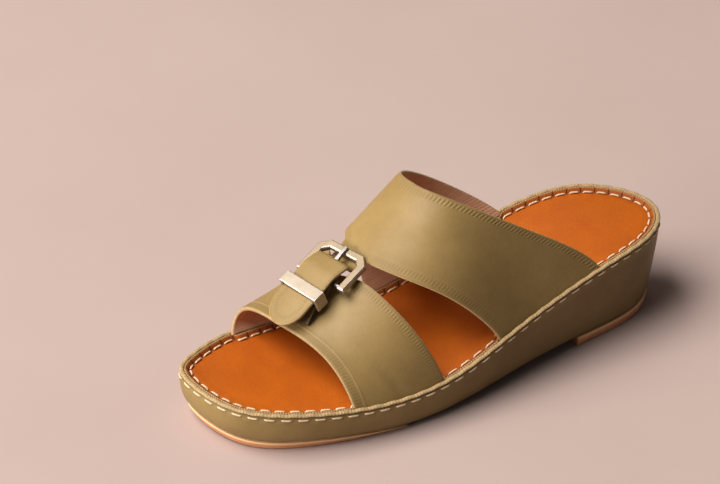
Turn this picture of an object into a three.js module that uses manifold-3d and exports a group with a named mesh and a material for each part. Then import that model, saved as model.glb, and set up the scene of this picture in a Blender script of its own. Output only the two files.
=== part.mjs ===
import * as THREE from 'three';
import { mergeVertices } from 'three/addons/utils/BufferGeometryUtils.js';
import Module from 'manifold-3d';

// A leather slide sandal for the left foot, with a wide toe strap, a taller instep strap
// and a tab that runs from the instep strap through a buckle over the toe strap.
// Millimetres, +Z up. The toe points to -Y, the outer side of the foot to +X, the floor is z = 0.

// The sole. Its long axis lies at x = axisX, so that the whole shoe is centred on x = 0.
const shoeLength = 285;
const axisX = -4.2;
const soleWidth = 96;
const ballRimHeight = 23;
const heelRimHeight = 55;
const toeRimRise = 6;
const toeSpring = 2;
const outsoleThickness = 5;
const heelLiftHeight = 6.5;
const toeUndercut = 4.2;
const heelUndercut = 4.4;
const outsoleProud = 0.5;
const outsoleTaper = 1.6;
const rimWall = 2.2;

// The footbed
const insoleThickness = 5.9;
const footbedDepth = 2.2;
const lipDrop = 0.6;
const lipWidth = 4;

// The upper
const instepHeight = 110;
const strapThickness = 2.2;
const tuckDepth = 7;
const tabWidth = 22.4;
const tabLength = 51.5;
const tabYaw = THREE.MathUtils.degToRad(13);
const tabFlare = 2.5;
const toeStrapNotch = 6.5;

// The buckle
const buckleOffset = -12;
const buckleY = -43.3;
const buckleYaw = THREE.MathUtils.degToRad(21);
const buckleTilt = THREE.MathUtils.degToRad(17.5);
const frameWidth = 33;
const frameLength = 24.2;
const frameBand = 4.5;
const frameThickness = 3.4;
const frameCorner = 5;
const prongHole = 7.6;
const hingeRadius = 1.1;
const hingeInset = 2.4;
const prongWidth = 2.4;
const prongRise = 1.4;
const keeperAlong = 32.6;
const keeperWidth = 27;
const keeperDepth = 7.4;
const keeperHeight = 9.6;
const keeperWall = 1.5;
const keeperPlate = 1.1;
const keeperProud = 1.2;
const keeperYaw = THREE.MathUtils.degToRad(17);
const keeperTilt = THREE.MathUtils.degToRad(20);
const chapeWidth = 14;
const chapeThickness = 1.6;

const clearance = 0.3;

// Where the rubber ends, as shares of the length from the toe.
const springStart = 0.14;
const outsoleEnd = 0.36;
const heelLiftStart = 0.77;

// Half widths of the rim each side of the long axis, as shares of soleWidth.
const toeTip = -0.118;
const heelTip = 0.018;
const outlineRows = [
  { at: 0.035, lateral: 0.22, medial: 0.28 },
  { at: 0.13, lateral: 0.435, medial: 0.393 },
  { at: 0.28, lateral: 0.547, medial: 0.432 },
  { at: 0.45, lateral: 0.556, medial: 0.401 },
  { at: 0.62, lateral: 0.474, medial: 0.422 },
  { at: 0.79, lateral: 0.393, medial: 0.429 },
  { at: 0.93, lateral: 0.296, medial: 0.293 },
];

// Height of the rim: shares of the climb from ball to heel, and of the rise at the toe.
const rimRows = [
  { at: 0, heel: 0, toe: 1 },
  { at: 0.15, heel: 0, toe: 0.48 },
  { at: 0.3, heel: 0, toe: 0 },
  { at: 0.45, heel: 0.085, toe: 0 },
  { at: 0.6, heel: 0.455, toe: 0 },
  { at: 0.75, heel: 0.795, toe: 0 },
  { at: 0.88, heel: 1, toe: 0 },
  { at: 1, heel: 1, toe: 0 },
];

// Side wall from its foot to the rim: how much of the undercut is left, at toe and heel.
const wallRows = [
  { rise: 0, toe: 1, heel: 1 },
  { rise: 0.12, toe: 0.6, heel: 0.85 },
  { rise: 0.3, toe: 0.22, heel: 0.62 },
  { rise: 0.55, toe: 0, heel: 0.34 },
  { rise: 0.8, toe: -0.04, heel: 0.1 },
];

// Thickness of the forefoot rubber, as a share of outsoleThickness.
const outsoleRows = [
  { at: 0, share: 1.1 },
  { at: 0.12, share: 1.05 },
  { at: 0.22, share: 0.88 },
  { at: outsoleEnd, share: 0.25 },
];

// The last under the straps: crown height as a share of instepHeight.
const crownRows = [
  { at: 0.13, rise: 0.433 },
  { at: 0.255, rise: 0.528 },
  { at: 0.375, rise: 0.743 },
  { at: 0.5, rise: 1 },
  { at: 0.625, rise: 1.087 },
  { at: 0.765, rise: 1.11 },
];

// Its section at two stations: an arch from rim to rim whose crown leans to the medial side
// by a share of soleWidth. Each side has its own roundness (2 is an ellipse, more is squarer).
const sectionRows = [
  { at: 0.13, lean: -0.096, lateral: 2.03, medial: 2.26 },
  { at: 0.765, lean: -0.307, lateral: 2.56, medial: 2.24 },
];

// Strap edges from the lateral rim (0) over the crown (0.5) to the medial rim (1),
// as shares of the length from the toe.
const strapRows = [
  { across: 0, toeFront: 0.251, toeRear: 0.435, instepFront: 0.566, instepRear: 0.804 },
  { across: 0.25, toeFront: 0.227, toeRear: 0.368, instepFront: 0.42, instepRear: 0.587 },
  { across: 0.5, toeFront: 0.184, toeRear: 0.337, instepFront: 0.361, instepRear: 0.488 },
  { across: 0.75, toeFront: 0.162, toeRear: 0.342, instepFront: 0.394, instepRear: 0.54 },
  { across: 1, toeFront: 0.14, toeRear: 0.299, instepFront: 0.43, instepRear: 0.734 },
];

// The tab's upper face, along the tab from the outer edge of the buckle's far bar (0) to the
// tip (1): the share of the way from the last up to the buckle's top plane, and how far over
// that it is, in strap thicknesses.
const tabRows = [
  { along: -0.18, raised: 0, over: -0.25 },
  { along: 0, raised: 0, over: -0.2 },
  { along: 0.08, raised: 0.12, over: 0 },
  { along: 0.13, raised: 0.55, over: 0.05 },
  { along: 0.18, raised: 0.95, over: 0.35 },
  { along: 0.24, raised: 1, over: 0.9 },
  { along: 0.32, raised: 1, over: 1.15 },
  { along: 0.42, raised: 1, over: 1.15 },
  { along: 0.5, raised: 1, over: 0.5 },
  { along: 0.6, raised: 1, over: -0.22 },
  { along: 0.72, raised: 0.88, over: -0.2 },
  { along: 0.86, raised: 0.68, over: 0 },
  { along: 1, raised: 0.48, over: 0 },
];

// Number of facets
const outlineSteps = 96;
const strapSteps = 28;
const strapColumns = 7;
const tabSteps = 26;
const tabColumns = 4;
const roundSides = 20;

const wasm = await Module();
wasm.setup();

const materials = {
  leather: new THREE.MeshStandardMaterial({ color: 0x96804f, roughness: 0.55, metalness: 0 }),
  insole: new THREE.MeshStandardMaterial({ color: 0xc2621e, roughness: 0.6, metalness: 0 }),
  rubber: new THREE.MeshStandardMaterial({ color: 0xcf9562, roughness: 0.6, metalness: 0 }),
  metal: new THREE.MeshStandardMaterial({ color: 0xd9c7a3, roughness: 0.25, metalness: 1 }),
};

// A smooth curve through a table's values: cubic pieces that bend alike where they meet
// and are straight at both ends.
function curveThrough(knots, values) {
  const last = knots.length - 1;
  const bend = new Array(last + 1).fill(0);
  for (let pass = 0; pass < 60; pass += 1) {
    for (let i = 1; i < last; i += 1) {
      const before = knots[i] - knots[i - 1];
      const after = knots[i + 1] - knots[i];
      const turn = (values[i + 1] - values[i]) / after - (values[i] - values[i - 1]) / before;
      bend[i] = (6 * turn - before * bend[i - 1] - after * bend[i + 1]) / (2 * (before + after));
    }
  }
  return (x) => {
    let i = 1;
    while (i < last && x > knots[i]) i += 1;
    const span = knots[i] - knots[i - 1];
    const a = (knots[i] - x) / span;
    const b = 1 - a;
    const sag = ((a ** 3 - a) * bend[i - 1] + (b ** 3 - b) * bend[i]) * span ** 2 / 6;
    return a * values[i - 1] + b * values[i] + sag;
  };
}

function columnCurve(rows, key, column) {
  return curveThrough(rows.map((row) => row[key]), rows.map((row) => row[column]));
}

const { lerp, clamp, smoothstep } = THREE.MathUtils;
const buckleX = axisX + buckleOffset;

// The rim's outline in plan. It has a knot at the toe tip (0), one for each row down the
// lateral side, one at the heel tip (8) and the medial rows on the way back (to 16).
const outlineKnots = [
  { x: toeTip, at: 0 },
  ...outlineRows.map((row) => ({ x: row.lateral, at: row.at })),
  { x: heelTip, at: 1 },
  ...[...outlineRows].reverse().map((row) => ({ x: -row.medial, at: row.at })),
];
const knotCount = outlineKnots.length;
const heelKnot = knotCount / 2;
const wrapKnots = 5;
const knotIndex = Array.from({ length: knotCount + 2 * wrapKnots }, (_, i) => i - wrapKnots);
const knotAt = (i) => outlineKnots[(i + knotCount) % knotCount];
const outlineX = curveThrough(knotIndex, knotIndex.map((i) => axisX + knotAt(i).x * soleWidth));
const outlineY = curveThrough(knotIndex, knotIndex.map((i) => (knotAt(i).at - 0.5) * shoeLength));

// A point of the outline moved inward, square to the outline.
function outlinePoint(u, inset) {
  const step = 0.01;
  const tangent = new THREE.Vector2(
    outlineX(u + step) - outlineX(u - step),
    outlineY(u + step) - outlineY(u - step),
  ).normalize();
  return new THREE.Vector2(outlineX(u) - tangent.y * inset, outlineY(u) + tangent.x * inset);
}

const stationOf = (y) => y / shoeLength + 0.5;
const yOf = (at) => (at - 0.5) * shoeLength;
const outlineStation = (u) => clamp(stationOf(outlineY(u)), 0, 1);

// The outline's own parameter at a station, on the lateral (1) or the medial (-1) side.
function parameterAt(at, side) {
  let low = 0;
  let high = heelKnot;
  for (let pass = 0; pass < 40; pass += 1) {
    const middle = (low + high) / 2;
    const u = side > 0 ? middle : knotCount - middle;
    if (stationOf(outlineY(u)) < at) low = middle;
    else high = middle;
  }
  return side > 0 ? low : knotCount - low;
}

const heelClimb = columnCurve(rimRows, 'at', 'heel');
const toeClimb = columnCurve(rimRows, 'at', 'toe');
const outsoleShare = columnCurve(outsoleRows, 'at', 'share');
const wallToe = columnCurve(wallRows, 'rise', 'toe');
const wallHeel = columnCurve(wallRows, 'rise', 'heel');

const rimHeight = (at) => (
  ballRimHeight + (heelRimHeight - ballRimHeight) * heelClimb(at) + toeRimRise * toeClimb(at)
);
const undercut = (at) => lerp(toeUndercut, heelUndercut, at);
const springHeight = (at) => toeSpring * Math.max(0, 1 - at / springStart) ** 2;
const outsoleTop = (at) => springHeight(at) + outsoleThickness * outsoleShare(at);
const seatHeight = (at) => rimHeight(at) - footbedDepth - insoleThickness;

// Underside of the wedge: on the rubber in front, a shallow arch, then on the heel lift.
function wedgeBase(at) {
  const archFoot = outsoleTop(outsoleEnd);
  const climb = smoothstep(at, outsoleEnd, heelLiftStart);
  const height = at < outsoleEnd ? outsoleTop(at) : lerp(archFoot, heelLiftHeight, climb);
  return height + clearance;
}

// How far a strap's end pushes the footbed's lip inward, at a place on the outline.
function strapRoom(u) {
  const at = outlineStation(u);
  const row = u > 0 && u < heelKnot ? strapRows[0] : strapRows[strapRows.length - 1];
  const ramp = 4 / shoeLength;
  const within = (front, rear) => (
    smoothstep(at, front - 2 * ramp, front - ramp) * (1 - smoothstep(at, rear + ramp, rear + 2 * ramp))
  );
  const cover = within(row.toeFront, row.toeRear) + within(row.instepFront, row.instepRear);
  return cover * (strapThickness + 2 * clearance);
}

function meshFrom(positions, triangles) {
  const geometry = new THREE.BufferGeometry();
  geometry.setAttribute('position', new THREE.Float32BufferAttribute(positions, 3));
  geometry.setIndex(triangles);
  return geometry;
}

// A closed body from rings of equal length, counter-clockwise seen from above. The first ring
// is closed below and the last above, by rungs from the lateral to the medial half.
function ringBody(rings) {
  const count = rings[0].length;
  const positions = rings.flat().flatMap((point) => [point.x, point.y, point.z]);
  const triangles = [];
  for (let k = 0; k + 1 < rings.length; k += 1) {
    for (let i = 0; i < count; i += 1) {
      const a = k * count + i;
      const b = k * count + (i + 1) % count;
      triangles.push(a, b, b + count, a, b + count, a + count);
    }
  }
  const top = (rings.length - 1) * count;
  const cap = (a, b, c) => {
    triangles.push(a, c, b);
    triangles.push(top + a, top + b, top + c);
  };
  cap(0, 1, count - 1);
  for (let a = 1, b = count - 1; b - a > 1; a += 1, b -= 1) {
    cap(a, a + 1, b);
    if (b - a > 2) cap(a + 1, b - 1, b);
  }
  return meshFrom(positions, triangles);
}

function ring(parameters, inset, height) {
  return parameters.map((u) => {
    const point = outlinePoint(u, inset(u));
    return new THREE.Vector3(point.x, point.y, height(u));
  });
}

const wholeOutline = Array.from(
  { length: outlineSteps },
  (_, i) => (i * knotCount) / outlineSteps,
);

// Parameters around the toe end or the heel end of the outline, as far as a station.
function endOutline(at, tipKnot, steps) {
  const lateral = parameterAt(at, 1);
  const medial = parameterAt(at, -1) - (tipKnot === 0 ? knotCount : 0);
  const tip = tipKnot;
  const first = tipKnot === 0 ? lateral : medial;
  const second = tipKnot === 0 ? medial : lateral;
  const outward = Array.from({ length: steps + 1 }, (_, i) => lerp(tip, first, i / steps));
  const back = Array.from({ length: steps }, (_, i) => lerp(second, tip, i / steps));
  return [...outward, ...back];
}

// The wedge with its wrapped side wall, its standing rim and the seat for the footbed.
function wedgeGeometry() {
  const base = (u) => wedgeBase(outlineStation(u));
  const rim = (u) => rimHeight(outlineStation(u));
  const seat = (u) => seatHeight(outlineStation(u));
  const wall = wallRows.map(({ rise }) => ring(
    wholeOutline,
    (u) => {
      const at = outlineStation(u);
      return undercut(at) * lerp(wallToe(rise), wallHeel(rise), smoothstep(at, 0.2, 0.8));
    },
    (u) => lerp(base(u), rim(u), rise),
  ));
  const edge = 0.5;
  return ringBody([
    ...wall,
    ring(wholeOutline, () => 0, (u) => rim(u) - edge),
    ring(wholeOutline, () => edge, rim),
    ring(wholeOutline, () => rimWall, rim),
    ring(wholeOutline, () => rimWall, seat),
  ]);
}

// The rubber under the forefoot, flat on the floor behind the toe spring.
function outsoleGeometry() {
  const around = endOutline(outsoleEnd, 0, 34);
  const bottom = (u) => springHeight(outlineStation(u));
  const top = (u) => outsoleTop(outlineStation(u));
  const inset = (u) => undercut(outlineStation(u));
  return ringBody([
    ring(around, (u) => inset(u) + outsoleTaper, bottom),
    ring(around, (u) => inset(u) + outsoleTaper * 0.15, (u) => lerp(bottom(u), top(u), 0.4)),
    ring(around, (u) => inset(u) - outsoleProud, top),
  ]);
}

function heelLiftGeometry() {
  const around = endOutline(heelLiftStart, heelKnot, 22);
  const inset = (u) => undercut(outlineStation(u));
  return ringBody([
    ring(around, (u) => inset(u) + outsoleTaper * 0.4, () => 0),
    ring(around, inset, () => heelLiftHeight),
  ]);
}

// The footbed: a padded sheet whose edge turns up as a lip inside the rim.
function insoleGeometry() {
  const rim = (u) => rimHeight(outlineStation(u));
  const seat = (u) => seatHeight(outlineStation(u)) + clearance;
  const edge = (u) => rimWall + clearance + strapRoom(u);
  return ringBody([
    ring(wholeOutline, (u) => edge(u) + 1, seat),
    ring(wholeOutline, edge, (u) => seat(u) + 1),
    ring(wholeOutline, edge, (u) => rim(u) - lipDrop - 0.4),
    ring(wholeOutline, (u) => edge(u) + 0.6, (u) => rim(u) - lipDrop),
    ring(wholeOutline, (u) => edge(u) + lipWidth * 0.45, (u) => rim(u) - lipDrop - 0.5),
    ring(wholeOutline, (u) => edge(u) + lipWidth, (u) => rim(u) - footbedDepth * 0.75),
    ring(wholeOutline, (u) => edge(u) + lipWidth * 1.8, (u) => rim(u) - footbedDepth * 0.9),
    ring(wholeOutline, (u) => edge(u) + lipWidth * 2.8, (u) => rim(u) - footbedDepth),
  ]);
}

const crownHeight = columnCurve(crownRows, 'at', 'rise');
const sectionValue = (at, column) => {
  const [front, rear] = sectionRows;
  return lerp(front[column], rear[column], (at - front.at) / (rear.at - front.at));
};

// The last's section at a station: where it stands on the rims and how far it leans.
function lastSection(at) {
  const rim = rimHeight(at);
  const inset = rimWall + clearance;
  const lateral = outlineX(parameterAt(at, 1)) - inset;
  const medial = outlineX(parameterAt(at, -1)) + inset;
  return {
    rim,
    height: crownHeight(at) * instepHeight - rim,
    middle: (lateral + medial) / 2,
    half: (lateral - medial) / 2,
    lean: sectionValue(at, 'lean') * soleWidth,
    lateralPower: sectionValue(at, 'lateral'),
    medialPower: sectionValue(at, 'medial'),
  };
}

// A point of a section. It goes from the lateral rim (0) over the crown (0.5) to the medial (1).
function sectionPoint(section, across) {
  const lateral = across < 0.5;
  const power = 2 / (lateral ? section.lateralPower : section.medialPower);
  const out = Math.abs(Math.cos(across * Math.PI)) ** power;
  const up = Math.abs(Math.sin(across * Math.PI)) ** power;
  return {
    x: section.middle + (lateral ? section.half : -section.half) * out + section.lean * up,
    z: section.rim + section.height * up,
  };
}

function lastPoint(at, across) {
  const point = sectionPoint(lastSection(at), across);
  return new THREE.Vector3(point.x, yOf(at), point.z);
}

// The height of the last over a place in plan. The search stops short of the medial side,
// where the last overhangs its foot.
function lastHeight(x, y) {
  const section = lastSection(stationOf(y));
  let low = 0;
  let high = 0.85;
  for (let pass = 0; pass < 30; pass += 1) {
    const middle = (low + high) / 2;
    if (sectionPoint(section, middle).x > x) low = middle;
    else high = middle;
  }
  return sectionPoint(section, low).z;
}

// The tab's axis in plan, from the outer edge of the buckle's far bar toward the toe.
const tabAxis = new THREE.Vector2(Math.sin(tabYaw), -Math.cos(tabYaw));
const tabAcross = new THREE.Vector2(Math.cos(tabYaw), Math.sin(tabYaw));
const tabPlace = (along, side) => new THREE.Vector2(buckleX, buckleY)
  .addScaledVector(tabAxis, along)
  .addScaledVector(tabAcross, side);

const strapEdges = Object.fromEntries(
  ['toeFront', 'toeRear', 'instepFront', 'instepRear']
    .map((name) => [name, columnCurve(strapRows, 'across', name)]),
);

// A strap edge moved toward the toe where the tab crosses it.
function shiftAtTab(edge, reach) {
  return (across) => {
    const at = edge(across);
    const side = (lastPoint(at, across).x - buckleX) / tabWidth;
    return at - (reach / shoeLength) * Math.exp(-2.5 * side ** 2);
  };
}

function bodyOfSheet(outer, inner, rows, columns) {
  const count = rows * columns;
  const positions = [...outer, ...inner].flatMap((point) => [point.x, point.y, point.z]);
  const triangles = [];
  const quad = (a, b, c, d) => triangles.push(a, b, c, a, c, d);
  for (let i = 0; i + 1 < rows; i += 1) {
    for (let j = 0; j + 1 < columns; j += 1) {
      const a = i * columns + j;
      quad(a, a + 1, a + columns + 1, a + columns);
      quad(count + a, count + a + columns, count + a + columns + 1, count + a + 1);
    }
  }
  for (let i = 0; i + 1 < rows; i += 1) {
    const front = i * columns;
    const rear = front + columns - 1;
    quad(front, front + columns, count + front + columns, count + front);
    quad(rear, count + rear, count + rear + columns, rear + columns);
  }
  for (let j = 0; j + 1 < columns; j += 1) {
    const end = (rows - 1) * columns + j;
    quad(j, count + j, count + j + 1, j + 1);
    quad(end, end + 1, count + end + 1, count + end);
  }
  return meshFrom(positions, triangles);
}

// A strap: a sheet of leather laid on the last between two edges, both ends tucked straight
// down between rim and footbed.
function strapGeometry(frontEdge, rearEdge) {
  const outer = [];
  const inner = [];
  const pointOn = (across, share) => (
    lastPoint(lerp(frontEdge(across), rearEdge(across), share), across)
  );
  const addRow = (across, drop) => {
    for (let j = 0; j < strapColumns; j += 1) {
      const share = j / (strapColumns - 1);
      const point = pointOn(across, share);
      const step = 0.002;
      const low = Math.max(across - step, 0);
      const high = Math.min(across + step, 1);
      const over = pointOn(high, share).sub(pointOn(low, share));
      const along = pointOn(across, share + step).sub(pointOn(across, share - step));
      const normal = over.cross(along).negate().normalize();
      if (across === 0 || across === 1) {
        normal.setZ(0).normalize();
      }
      outer.push(new THREE.Vector3(point.x, point.y, point.z - drop));
      inner.push(new THREE.Vector3(point.x, point.y, point.z - drop).addScaledVector(normal, -strapThickness));
    }
  };
  addRow(0, tuckDepth);
  for (let i = 0; i <= strapSteps; i += 1) {
    addRow(i / strapSteps, 0);
  }
  addRow(1, tuckDepth);
  return bodyOfSheet(outer, inner, strapSteps + 3, strapColumns);
}

// The buckle's top plane: it passes just over the instep strap at the far bar's outer edge.
const farBarTop = lastHeight(buckleX, buckleY) + frameThickness + 4 * clearance;
const planeHeight = (along) => farBarTop - along * Math.tan(buckleTilt);

const tabRaised = columnCurve(tabRows, 'along', 'raised');
const tabOver = columnCurve(tabRows, 'along', 'over');

// A point of the tab's upper face. Across, the face follows the last's own curve wholly at
// its root and hardly at all once it is through the buckle.
function tabPoint(along, side) {
  const middle = tabPlace(along * tabLength, 0);
  const place = tabPlace(along * tabLength, side);
  const last = lastHeight(middle.x, middle.y);
  const follow = lerp(1, 0.25, smoothstep(along, 0, 0.3));
  const droop = (lastHeight(place.x, place.y) - last) * follow;
  const height = lerp(last, planeHeight(along * tabLength), tabRaised(along));
  return new THREE.Vector3(place.x, place.y, height + droop + tabOver(along) * strapThickness);
}

function tabGeometry() {
  const outer = [];
  const inner = [];
  const root = tabRows[0].along;
  const roundStart = 1 - tabWidth / 2 / tabLength;
  for (let i = 0; i <= tabSteps; i += 1) {
    const along = lerp(root, 1, 1 - (1 - i / tabSteps) ** 1.25);
    const beyond = clamp((along - roundStart) / (1 - roundStart), 0, 0.985);
    const half = (tabWidth / 2) * Math.sqrt(1 - beyond ** 2);
    const step = 0.01;
    const rise = tabPoint(along + step, 0).z - tabPoint(along - step, 0).z;
    const slope = Math.atan2(rise, 2 * step * tabLength);
    const wall = lerp(strapThickness * 0.5, strapThickness, smoothstep(along, -0.04, 0.08));
    for (let j = 0; j <= tabColumns; j += 1) {
      const point = tabPoint(along, lerp(-half, half, j / tabColumns));
      const down = new THREE.Vector3(
        tabAxis.x * Math.sin(slope),
        tabAxis.y * Math.sin(slope),
        -Math.cos(slope),
      );
      outer.push(point);
      inner.push(point.clone().addScaledVector(down, wall));
    }
  }
  return bodyOfSheet(outer, inner, tabSteps + 1, tabColumns + 1);
}

function toSolid(geometry) {
  const plain = geometry.clone();
  plain.deleteAttribute('normal');
  plain.deleteAttribute('uv');
  const merged = mergeVertices(plain, 1e-5);
  return new wasm.Manifold(new wasm.Mesh({
    numProp: 3,
    vertProperties: new Float32Array(merged.attributes.position.array),
    triVerts: new Uint32Array(merged.index.array),
  }));
}

function fromSolid(solid) {
  const mesh = solid.getMesh();
  return meshFrom(Array.from(mesh.vertProperties), Array.from(mesh.triVerts));
}

function toeStrapGeometry() {
  return strapGeometry(strapEdges.toeFront, shiftAtTab(strapEdges.toeRear, toeStrapNotch));
}

function instepStrapGeometry() {
  const frontEdge = shiftAtTab(strapEdges.instepFront, tabFlare);
  const strap = toSolid(strapGeometry(frontEdge, strapEdges.instepRear));
  const slotWidth = prongWidth + 4 * clearance;
  const slotLength = frameBand * 1.5;
  const slot = new THREE.BoxGeometry(slotWidth, slotLength, frameThickness * 6);
  slot.rotateZ(buckleYaw);
  const middle = tabPoint(prongHole / tabLength, 0);
  slot.translate(middle.x, middle.y, middle.z);
  const tab = toSolid(tabGeometry()).subtract(toSolid(slot));
  return fromSolid(strap.add(tab));
}

// The buckle's own frame: its origin is on the hinge bar's axis, +Y runs to the far bar and
// up with it, +Z is square to the frame.
const hingeDepth = frameThickness * 0.72;
const hingeBack = frameLength - hingeInset;
const buckle = new THREE.Group();
buckle.rotation.set(buckleTilt, 0, buckleYaw, 'ZXY');
const farBarEdge = new THREE.Vector3(0, hingeBack, hingeDepth).applyEuler(buckle.rotation);
buckle.position.set(buckleX, buckleY, farBarTop).sub(farBarEdge);
buckle.updateMatrixWorld();

// The keeper's frame: its origin is the middle of its upper face.
const keeper = new THREE.Group();
const keeperPlace = tabPlace(keeperAlong, 0);
keeper.rotation.set(keeperTilt, 0, keeperYaw, 'ZXY');
keeper.position.set(keeperPlace.x, keeperPlace.y, planeHeight(keeperAlong) + keeperProud);
keeper.updateMatrixWorld();

// A shape cut along X: the profile is drawn as (y, z).
function extrudeAcross(shape, width, bevel) {
  const geometry = new THREE.ExtrudeGeometry(shape, {
    depth: width - 2 * bevel,
    bevelEnabled: bevel > 0,
    bevelThickness: bevel,
    bevelSize: bevel,
    bevelOffset: -bevel,
    bevelSegments: 1,
    curveSegments: 6,
  });
  geometry.translate(0, 0, -width / 2 + bevel);
  geometry.rotateY(Math.PI / 2);
  geometry.rotateX(Math.PI / 2);
  return geometry;
}

function frameGeometry() {
  const half = frameWidth / 2;
  const innerHalf = half - frameBand;
  const far = hingeBack;
  const near = hingeBack - frameLength;
  const innerFar = far - frameBand;
  const innerCorner = frameCorner * 0.6;
  const bevel = 0.6;
  const shape = new THREE.Shape([
    new THREE.Vector2(half, near),
    new THREE.Vector2(half, far - frameCorner),
    new THREE.Vector2(half - frameCorner, far),
    new THREE.Vector2(frameCorner - half, far),
    new THREE.Vector2(-half, far - frameCorner),
    new THREE.Vector2(-half, near),
    new THREE.Vector2(-innerHalf, near),
    new THREE.Vector2(-innerHalf, innerFar - innerCorner),
    new THREE.Vector2(innerCorner - innerHalf, innerFar),
    new THREE.Vector2(innerHalf - innerCorner, innerFar),
    new THREE.Vector2(innerHalf, innerFar - innerCorner),
    new THREE.Vector2(innerHalf, near),
  ]);
  const frame = new THREE.ExtrudeGeometry(shape, {
    depth: frameThickness - 2 * bevel,
    bevelThickness: bevel,
    bevelSize: bevel,
    bevelOffset: -bevel,
    bevelSegments: 1,
  });
  frame.translate(0, 0, hingeDepth - frameThickness + bevel);
  const bore = hingeBarGeometry(hingeRadius + clearance, hingeBarLength + 2 * clearance);
  return fromSolid(toSolid(frame).subtract(toSolid(bore)));
}

const hingeBarLength = frameWidth - frameBand;

function hingeBarGeometry(radius, length) {
  const bar = new THREE.CylinderGeometry(radius, radius, length, roundSides);
  bar.rotateZ(Math.PI / 2);
  return bar;
}

// The prong: an eye on the hinge bar and an arm that ends on top of the far bar.
function prongGeometry() {
  const eye = hingeRadius + clearance;
  const outer = eye + 1.1;
  const farTop = hingeDepth + clearance;
  const shape = new THREE.Shape();
  shape.absarc(0, 0, outer, 0.9, 2 * Math.PI - 0.25, false);
  shape.lineTo(hingeBack - frameBand - prongRise, farTop - prongRise * 0.65);
  shape.lineTo(hingeBack - frameBand + 0.1, farTop);
  shape.lineTo(hingeBack - 0.5, farTop);
  shape.lineTo(hingeBack - 0.2, farTop + prongRise * 0.5);
  shape.lineTo(hingeBack - 0.9, farTop + prongRise);
  shape.lineTo(hingeBack - frameBand - 1, farTop + prongRise * 0.85);
  const hole = new THREE.Path();
  hole.absarc(0, 0, eye, 0, 2 * Math.PI, true);
  shape.holes.push(hole);
  return extrudeAcross(shape, prongWidth, 0.3);
}

// The keeper: a plain rectangular loop around the tab and the tail of the small leather loop.
function keeperGeometry() {
  const half = keeperWidth / 2;
  const shape = new THREE.Shape([
    new THREE.Vector2(-half, -keeperHeight),
    new THREE.Vector2(half, -keeperHeight),
    new THREE.Vector2(half, 0),
    new THREE.Vector2(-half, 0),
  ]);
  shape.holes.push(new THREE.Path([
    new THREE.Vector2(keeperWall - half, keeperPlate - keeperHeight),
    new THREE.Vector2(keeperWall - half, -keeperPlate),
    new THREE.Vector2(half - keeperWall, -keeperPlate),
    new THREE.Vector2(half - keeperWall, keeperPlate - keeperHeight),
  ]));
  const bevel = 0.25;
  const geometry = new THREE.ExtrudeGeometry(shape, {
    depth: keeperDepth - 2 * bevel,
    bevelThickness: bevel,
    bevelSize: bevel,
    bevelOffset: -bevel,
    bevelSegments: 1,
  });
  geometry.rotateX(Math.PI / 2);
  geometry.translate(0, keeperDepth / 2 - bevel, 0);
  return geometry;
}

// Where the tail of the leather loop passes over the front (-0.5) or rear (0.5) edge of the
// keeper's floor, in the buckle's frame.
function keeperFloor(end) {
  const heights = [-0.5, 0.5].map((side) => {
    const corner = new THREE.Vector3(side * chapeWidth, end * keeperDepth, keeperPlate - keeperHeight);
    return buckle.worldToLocal(keeper.localToWorld(corner)).z;
  });
  const middle = new THREE.Vector3(0, end * (keeperDepth + chapeWidth * 0.15), 0);
  const y = buckle.worldToLocal(keeper.localToWorld(middle)).y;
  return { y, z: Math.max(...heights) + clearance };
}

// The small leather loop round the hinge bar. Its tail runs down through the keeper and ends
// on the toe strap under the tab. The profile is drawn in the buckle's frame.
function chapeGeometry() {
  const bore = hingeRadius + clearance;
  const outer = bore + 1;
  const front = keeperFloor(-0.5);
  const rear = keeperFloor(0.5);
  const endPlace = tabPlace(keeperAlong + keeperDepth, 0);
  const endHeight = lastHeight(endPlace.x, endPlace.y) + 2 * clearance;
  const end = buckle.worldToLocal(new THREE.Vector3(endPlace.x, endPlace.y, endHeight));
  const shape = new THREE.Shape();
  shape.moveTo(end.y, end.z);
  shape.lineTo(front.y, front.z);
  shape.lineTo(rear.y, rear.z);
  shape.lineTo(0.4, -outer);
  shape.absarc(0, 0, outer, -1.2, 2.4, false);
  shape.lineTo(rear.y - 1, rear.z + chapeThickness);
  shape.lineTo(front.y, front.z + chapeThickness);
  shape.lineTo(end.y, end.z + chapeThickness);
  const hole = new THREE.Path();
  hole.absarc(0, 0, bore, 0, 2 * Math.PI, true);
  shape.holes.push(hole);
  const loop = toSolid(extrudeAcross(shape, chapeWidth, 0));
  const slot = new THREE.BoxGeometry(prongWidth + 2 * clearance, outer * 3, outer * 2.4);
  return fromSolid(loop.subtract(toSolid(slot)));
}

function addPiece(group, name, geometry, material) {
  const mesh = new THREE.Mesh(geometry, material);
  mesh.name = name;
  group.add(mesh);
}

const sandal = new THREE.Group();
addPiece(sandal, 'outsole_forefoot', outsoleGeometry(), materials.rubber);
addPiece(sandal, 'heel_lift', heelLiftGeometry(), materials.rubber);
addPiece(sandal, 'wedge_midsole', wedgeGeometry(), materials.leather);
addPiece(sandal, 'insole', insoleGeometry(), materials.insole);
addPiece(sandal, 'toe_strap', toeStrapGeometry(), materials.leather);
addPiece(sandal, 'instep_strap', instepStrapGeometry(), materials.leather);
addPiece(buckle, 'buckle_frame', frameGeometry(), materials.metal);
addPiece(buckle, 'buckle_hinge_bar', hingeBarGeometry(hingeRadius, hingeBarLength), materials.metal);
addPiece(buckle, 'buckle_prong', prongGeometry(), materials.metal);
addPiece(buckle, 'buckle_chape', chapeGeometry(), materials.leather);
addPiece(keeper, 'buckle_keeper', keeperGeometry(), materials.metal);
sandal.add(buckle, keeper);

export default sandal;
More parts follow.
